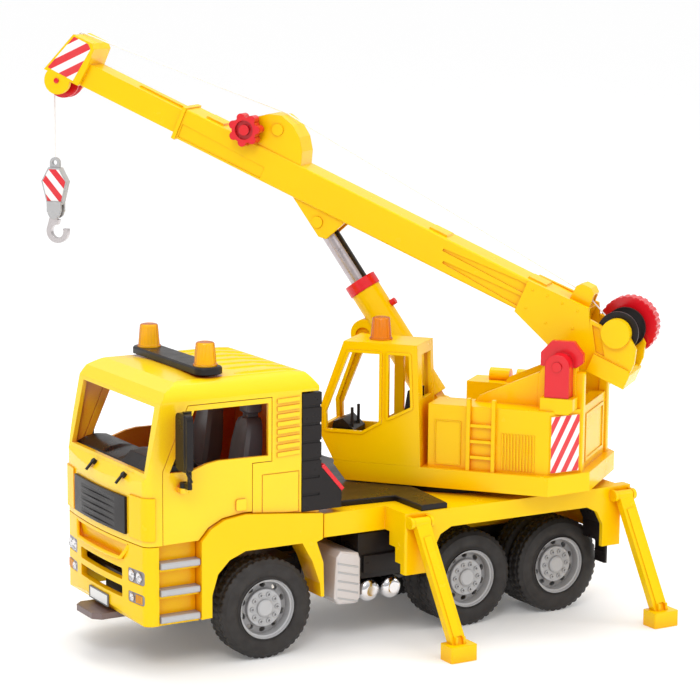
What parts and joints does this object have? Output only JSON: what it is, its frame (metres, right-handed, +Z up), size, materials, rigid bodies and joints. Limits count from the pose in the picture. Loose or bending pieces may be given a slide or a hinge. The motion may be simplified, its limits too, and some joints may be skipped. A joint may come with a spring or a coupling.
{
  "type": "toy crane truck",
  "caption": "Yellow plastic toy crane truck with a tilting cab, opening doors, fold-down outriggers and a slewing, luffing, telescopic crane with winch and hook.",
  "frame": {"origin": "bottom centre of the box round the whole model as it stands at rest, on the ground; the front axle is 115.3 mm ahead of it and the truck's centre plane 68.6 mm to its left", "axes": "-X is the driving direction, -Y is the truck's left side, +Z is up; the crane stands slewed 50 degrees at rest"},
  "size_m": [0.4746, 0.4502, 0.4709],
  "materials": {
    "yellow_plastic": "smooth glossy injection-moulded plastic, saturated yellow",
    "red_plastic": "smooth glossy red plastic",
    "black_plastic": "fine satin black plastic",
    "silver_plastic": "silver-grey pigmented plastic, semi-gloss",
    "grey_plastic": "satin mid-grey plastic",
    "tyre_rubber": "matt black soft tyre with moulded side walls",
    "amber_lens": "ribbed translucent amber plastic",
    "clear_lens": "silvered lamp face with fine ribs",
    "chrome_metal": "bright plated surface",
    "steel_pin": "plain drawn steel pin",
    "striped_plastic": "light grey plastic with a red and white striped face",
    "rope_fibre": "thin twisted white cord"
  },
  "bodies": {
    "chassis": {"chassis_frame": "black_plastic", "engine_block": "silver_plastic", "rear_deck": "yellow_plastic", "arch_liners": "yellow_plastic", "turntable_cover": "black_plastic", "battery_box": "black_plastic", "air_tanks": "chrome_metal", "step_tank": "silver_plastic", "fuel_tank": "silver_plastic", "bumper": "yellow_plastic", "headlamps": "clear_lens", "tow_step": "grey_plastic", "front_fenders": "yellow_plastic", "step_treads": "silver_plastic"},
    "front_wheels": {"front_tyres": "tyre_rubber", "front_rims": "silver_plastic", "front_axle_rod": "steel_pin"},
    "middle_wheels": {"middle_tyres": "tyre_rubber", "middle_rims": "silver_plastic", "middle_axle_rod": "steel_pin"},
    "rear_wheels": {"rear_tyres": "tyre_rubber", "rear_rims": "silver_plastic", "rear_axle_rod": "steel_pin"},
    "cab": {"cab_shell": "yellow_plastic", "grille": "black_plastic", "dashboard": "black_plastic", "cab_seats": "grey_plastic", "beacon_bar": "black_plastic", "cab_beacons": "amber_lens", "air_intakes": "black_plastic", "cab_lock_lever": "red_plastic", "wipers": "black_plastic"},
    "steering": {"steering_wheel": "black_plastic"},
    "left_door": {"door_left": "yellow_plastic"},
    "right_door": {"door_right": "yellow_plastic"},
    "left_mirror": {"mirror_left": "black_plastic"},
    "right_mirror": {"mirror_right": "black_plastic"},
    "crane": {"crane_house": "yellow_plastic", "slew_retainer": "black_plastic", "crane_cab_shell": "yellow_plastic", "crane_cab_fittings": "black_plastic", "crane_beacon": "amber_lens", "pivot_brackets": "red_plastic", "boom_pivot_pin": "steel_pin"},
    "boom": {"outer_boom": "yellow_plastic"},
    "knob": {"extension_knob": "red_plastic"},
    "winch": {"winch_drum": "black_plastic", "winch_wheel": "red_plastic"},
    "boom_extension": {"inner_boom": "yellow_plastic"},
    "sheave": {"head_sheave": "red_plastic"},
    "rope": {"hoist_rope": "rope_fibre"},
    "block": {"hook_block": "striped_plastic"},
    "hook_swivel": {"hook": "silver_plastic"},
    "lift_cylinder": {"lift_barrel": "yellow_plastic", "collar_and_button": "red_plastic"},
    "lift_piston": {"lift_rod": "chrome_metal"},
    "leg_front_left": {"outrigger_front_left": "yellow_plastic"},
    "leg_front_right": {"outrigger_front_right": "yellow_plastic"},
    "leg_rear_left": {"outrigger_rear_left": "yellow_plastic"},
    "leg_rear_right": {"outrigger_rear_right": "yellow_plastic"}
  },
  "joints": [
    {"name": "front_axle_spin", "type": "hinge", "parent": "chassis", "child": "front_wheels", "pos_m": [-0.11534, -0.06865, 0.04], "axis": [0, 1, 0], "continuous": true},
    {"name": "middle_axle_spin", "type": "hinge", "parent": "chassis", "child": "middle_wheels", "pos_m": [0.07266, -0.06865, 0.04], "axis": [0, 1, 0], "continuous": true},
    {"name": "rear_axle_spin", "type": "hinge", "parent": "chassis", "child": "rear_wheels", "pos_m": [0.16166, -0.06865, 0.04], "axis": [0, 1, 0], "continuous": true},
    {"name": "cab_tilt", "type": "hinge", "parent": "chassis", "child": "cab", "pos_m": [-0.22384, -0.06865, 0.1014], "axis": [0, -1, 0], "range_deg": [0, 45]},
    {"name": "steering_turn", "type": "hinge", "parent": "cab", "child": "steering", "pos_m": [-0.16734, -0.10165, 0.157], "axis": [0.7001, 0, 0.7141], "range_deg": [-450, 450]},
    {"name": "left_door_hinge", "type": "hinge", "parent": "cab", "child": "left_door", "pos_m": [-0.20424, -0.14145, 0.15], "axis": [0, 0, -1], "range_deg": [0, 60]},
    {"name": "right_door_hinge", "type": "hinge", "parent": "cab", "child": "right_door", "pos_m": [-0.20424, 0.00415, 0.15], "axis": [0, 0, 1], "range_deg": [0, 60]},
    {"name": "left_mirror_fold", "type": "hinge", "parent": "left_door", "child": "left_mirror", "pos_m": [-0.18934, -0.14715, 0.148], "axis": [0, 0, 1], "range_deg": [-15, 70]},
    {"name": "right_mirror_fold", "type": "hinge", "parent": "right_door", "child": "right_mirror", "pos_m": [-0.18934, 0.00985, 0.148], "axis": [0, 0, -1], "range_deg": [-15, 70]},
    {"name": "crane_slew", "type": "hinge", "parent": "chassis", "child": "crane", "pos_m": [0.10266, -0.06865, 0.11], "axis": [0, 0, 1], "continuous": true},
    {"name": "boom_luff", "type": "hinge", "parent": "crane", "child": "boom", "pos_m": [0.17016, -0.14908, 0.222], "axis": [0.766, 0.6428, 0], "range_deg": [-12, 12]},
    {"name": "boom_extend", "type": "slide", "parent": "boom", "child": "boom_extension", "axis": [-0.5913, 0.7046, 0.3923], "range_m": [-0.092, 0.095]},
    {"name": "knob_turn", "type": "hinge", "parent": "boom", "child": "knob", "pos_m": [-0.01226, 0.06831, 0.39523], "axis": [0.766, 0.6428, 0], "range_deg": [-440, 450]},
    {"name": "winch_turn", "type": "hinge", "parent": "boom", "child": "winch", "pos_m": [0.19401, -0.17751, 0.24172], "axis": [0.766, 0.6428, 0], "range_deg": [-720, 270]},
    {"name": "sheave_turn", "type": "hinge", "parent": "boom_extension", "child": "sheave", "pos_m": [-0.12683, 0.20486, 0.43103], "axis": [0.766, 0.6428, 0], "range_deg": [-645, 245]},
    {"name": "rope_swing", "type": "hinge", "parent": "boom_extension", "child": "rope", "pos_m": [-0.12683, 0.20486, 0.43103], "axis": [0.766, 0.6428, 0], "range_deg": [-12.5, 12.5]},
    {"name": "hoist", "type": "slide", "parent": "rope", "child": "block", "axis": [0, 0, 1], "range_m": [-0.12, 0.045]},
    {"name": "hook_turn", "type": "hinge", "parent": "block", "child": "hook_swivel", "pos_m": [-0.13371, 0.21305, 0.315], "axis": [0.766, 0.6428, 0], "range_deg": [-35, 35]},
    {"name": "cylinder_pivot", "type": "hinge", "parent": "crane", "child": "lift_cylinder", "pos_m": [0.09495, -0.05946, 0.166], "axis": [0.766, 0.6428, 0], "range_deg": [-14, 14]},
    {"name": "piston_slide", "type": "slide", "parent": "lift_cylinder", "child": "lift_piston", "axis": [-0.3678, 0.4383, 0.8201], "range_m": [-0.027, 0.027]},
    {"name": "front_left_leg_swing", "type": "hinge", "parent": "chassis", "child": "leg_front_left", "pos_m": [0.00266, -0.17765, 0.103], "axis": [-1, 0, 0], "range_deg": [0, 120]},
    {"name": "front_right_leg_swing", "type": "hinge", "parent": "chassis", "child": "leg_front_right", "pos_m": [0.00266, 0.04035, 0.103], "axis": [1, 0, 0], "range_deg": [0, 120]},
    {"name": "rear_left_leg_swing", "type": "hinge", "parent": "chassis", "child": "leg_rear_left", "pos_m": [0.20066, -0.17765, 0.103], "axis": [-1, 0, 0], "range_deg": [0, 120]},
    {"name": "rear_right_leg_swing", "type": "hinge", "parent": "chassis", "child": "leg_rear_right", "pos_m": [0.20066, 0.04035, 0.103], "axis": [1, 0, 0], "range_deg": [0, 120]}
  ],
  "couplings": [
    {"joint": "knob_turn", "follows": "boom_extend", "rad_per_m": 82},
    {"joint": "hoist", "follows": "winch_turn", "m_per_rad": 0.0095},
    {"joint": "sheave_turn", "follows": "winch_turn", "ratio": 0.888},
    {"joint": "rope_swing", "follows": "boom_luff", "ratio": -1},
    {"joint": "cylinder_pivot", "follows": "boom_luff", "ratio": 1.11},
    {"joint": "piston_slide", "follows": "boom_luff", "m_per_rad": 0.1246}
  ]
}
